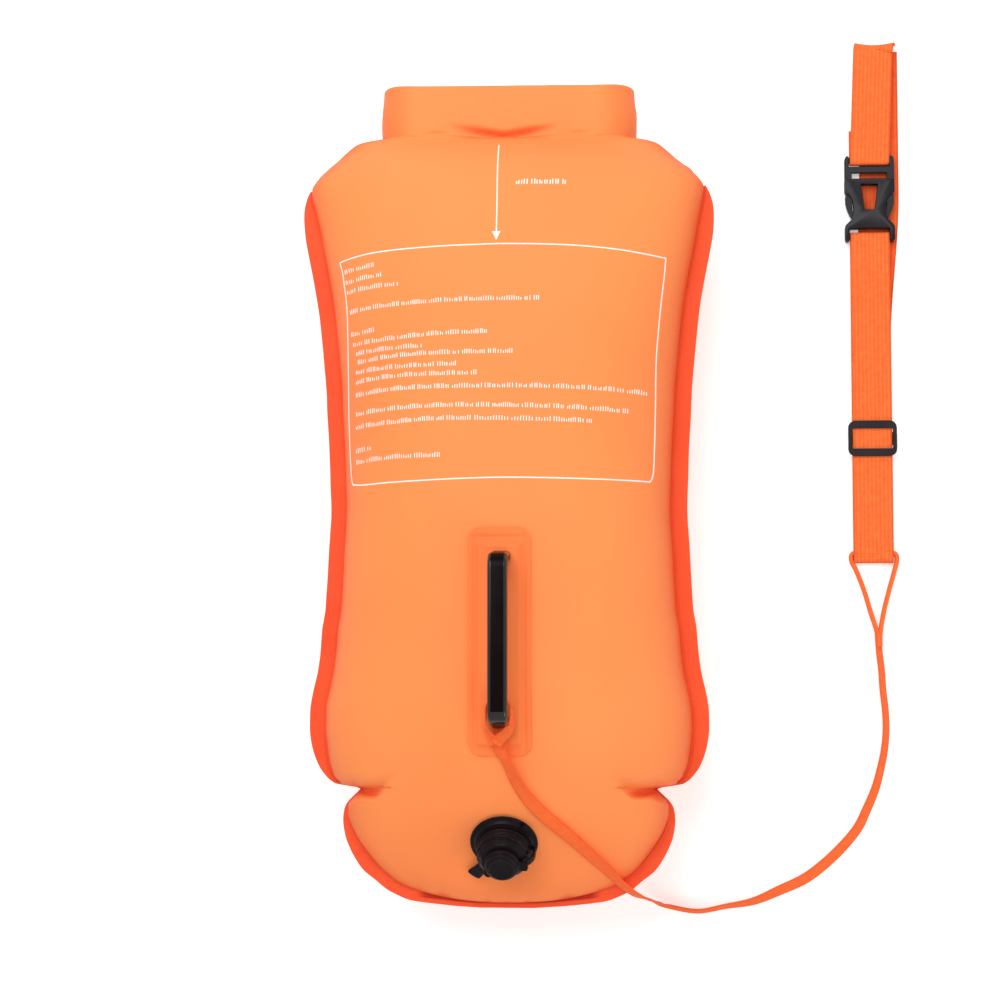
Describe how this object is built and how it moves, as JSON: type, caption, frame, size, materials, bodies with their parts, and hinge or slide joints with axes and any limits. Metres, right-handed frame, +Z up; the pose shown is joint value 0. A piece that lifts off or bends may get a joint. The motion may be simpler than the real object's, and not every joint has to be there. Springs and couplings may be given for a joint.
{
  "type": "open water swim buoy",
  "caption": "Roll-top dry bag between two inflated chambers, with carry handle, oral inflation valves, waist belt on a side-release buckle, webbing slider and leash.",
  "frame": {"origin": "on the ground under the middle of the bag, with the bag lying on its back panel", "axes": "+Z up out of the printed front, +Y towards the roll-top, +X towards the waist belt lying beside the bag"},
  "size_m": [0.462, 0.6881, 0.2116],
  "materials": {
    "coated_fabric": "satin",
    "seam_band": "satin",
    "webbing": "matte",
    "black_moulding": "gloss",
    "buckle_plastic": "satin",
    "stiffener": "matte"
  },
  "bodies": {
    "buoy": {"front_chamber": "coated_fabric", "back_chamber": "coated_fabric", "dry_pouch": "coated_fabric", "roll_top": "coated_fabric", "handle_patch": "coated_fabric", "seam_band": "seam_band", "top_tab_left": "webbing", "leash_hitch": "webbing", "leash_strap": "webbing", "leash_end_loop": "webbing", "belt_back_layer": "webbing", "belt_front_layer": "webbing", "belt_return_layer": "webbing", "carry_handle": "black_moulding", "front_valve_base": "black_moulding", "front_valve_diaphragm": "black_moulding", "back_valve_base": "black_moulding", "back_valve_diaphragm": "black_moulding", "top_buckle_socket": "buckle_plastic", "belt_buckle_socket": "buckle_plastic", "stiffener_strip": "stiffener"},
    "front_mouthpiece_body": {"front_mouthpiece": "black_moulding", "front_cap_tether": "black_moulding"},
    "front_cap_body": {"front_valve_cap": "black_moulding"},
    "back_mouthpiece_body": {"back_mouthpiece": "black_moulding", "back_cap_tether": "black_moulding"},
    "back_cap_body": {"back_valve_cap": "black_moulding"},
    "belt_plug_body": {"belt_buckle_plug": "buckle_plastic", "belt_upper_layer": "webbing"},
    "belt_prong_left_body": {"belt_prong_left": "buckle_plastic"},
    "belt_prong_right_body": {"belt_prong_right": "buckle_plastic"},
    "top_plug_body": {"top_buckle_plug": "buckle_plastic", "top_tab_right": "webbing"},
    "top_prong_left_body": {"top_prong_left": "buckle_plastic"},
    "top_prong_right_body": {"top_prong_right": "buckle_plastic"},
    "slider_body": {"belt_slider": "buckle_plastic"}
  },
  "joints": [
    {"name": "front_twist", "type": "hinge", "parent": "buoy", "child": "front_mouthpiece_body", "pos_m": [0, -0.25904, 0.12831], "axis": [0, -0.6153, 0.7883], "range_deg": [0, 90]},
    {"name": "front_cap_pull", "type": "slide", "parent": "front_mouthpiece_body", "child": "front_cap_body", "axis": [0, -0.6153, 0.7883], "range_m": [0, 0.012], "deforming": ["front_cap_tether"]},
    {"name": "back_twist", "type": "hinge", "parent": "buoy", "child": "back_mouthpiece_body", "pos_m": [0, -0.25904, 0.04169], "axis": [0, -0.6153, -0.7883], "range_deg": [0, 90]},
    {"name": "back_cap_pull", "type": "slide", "parent": "back_mouthpiece_body", "child": "back_cap_body", "axis": [0, -0.6153, -0.7883], "range_m": [0, 0.012], "deforming": ["back_cap_tether"]},
    {"name": "belt_release", "type": "slide", "parent": "buoy", "child": "belt_plug_body", "axis": [0, 1, 0], "range_m": [0, 0.032], "deforming": ["belt_upper_layer", "belt_prong_left", "belt_prong_right"]},
    {"name": "top_release", "type": "slide", "parent": "buoy", "child": "top_plug_body", "axis": [1, 0, 0], "range_m": [0, 0.032], "deforming": ["top_tab_right", "top_prong_left", "top_prong_right"]},
    {"name": "belt_press_left", "type": "hinge", "parent": "belt_plug_body", "child": "belt_prong_left_body", "pos_m": [0.26997, 0.2542, 0.0065], "axis": [0, 0, 1], "range_deg": [0, 6], "stiffness_Nm_per_rad": 0.02},
    {"name": "belt_press_right", "type": "hinge", "parent": "belt_plug_body", "child": "belt_prong_right_body", "pos_m": [0.29103, 0.2542, 0.0065], "axis": [0, 0, -1], "range_deg": [0, 6], "stiffness_Nm_per_rad": 0.02},
    {"name": "top_press_left", "type": "hinge", "parent": "top_plug_body", "child": "top_prong_left_body", "pos_m": [0.0064, 0.28597, 0.03695], "axis": [0, 0, -1], "range_deg": [0, 6], "stiffness_Nm_per_rad": 0.02},
    {"name": "top_press_right", "type": "hinge", "parent": "top_plug_body", "child": "top_prong_right_body", "pos_m": [0.0064, 0.30703, 0.03695], "axis": [0, 0, 1], "range_deg": [0, 6], "stiffness_Nm_per_rad": 0.02},
    {"name": "slider_adjust", "type": "slide", "parent": "buoy", "child": "slider_body", "axis": [0, 1, 0], "range_m": [-0.05, 0.06], "deforming": ["belt_return_layer"]}
  ],
  "couplings": [
    {"joint": "belt_press_right", "follows": "belt_press_left", "ratio": 1},
    {"joint": "top_press_right", "follows": "top_press_left", "ratio": 1}
  ]
}
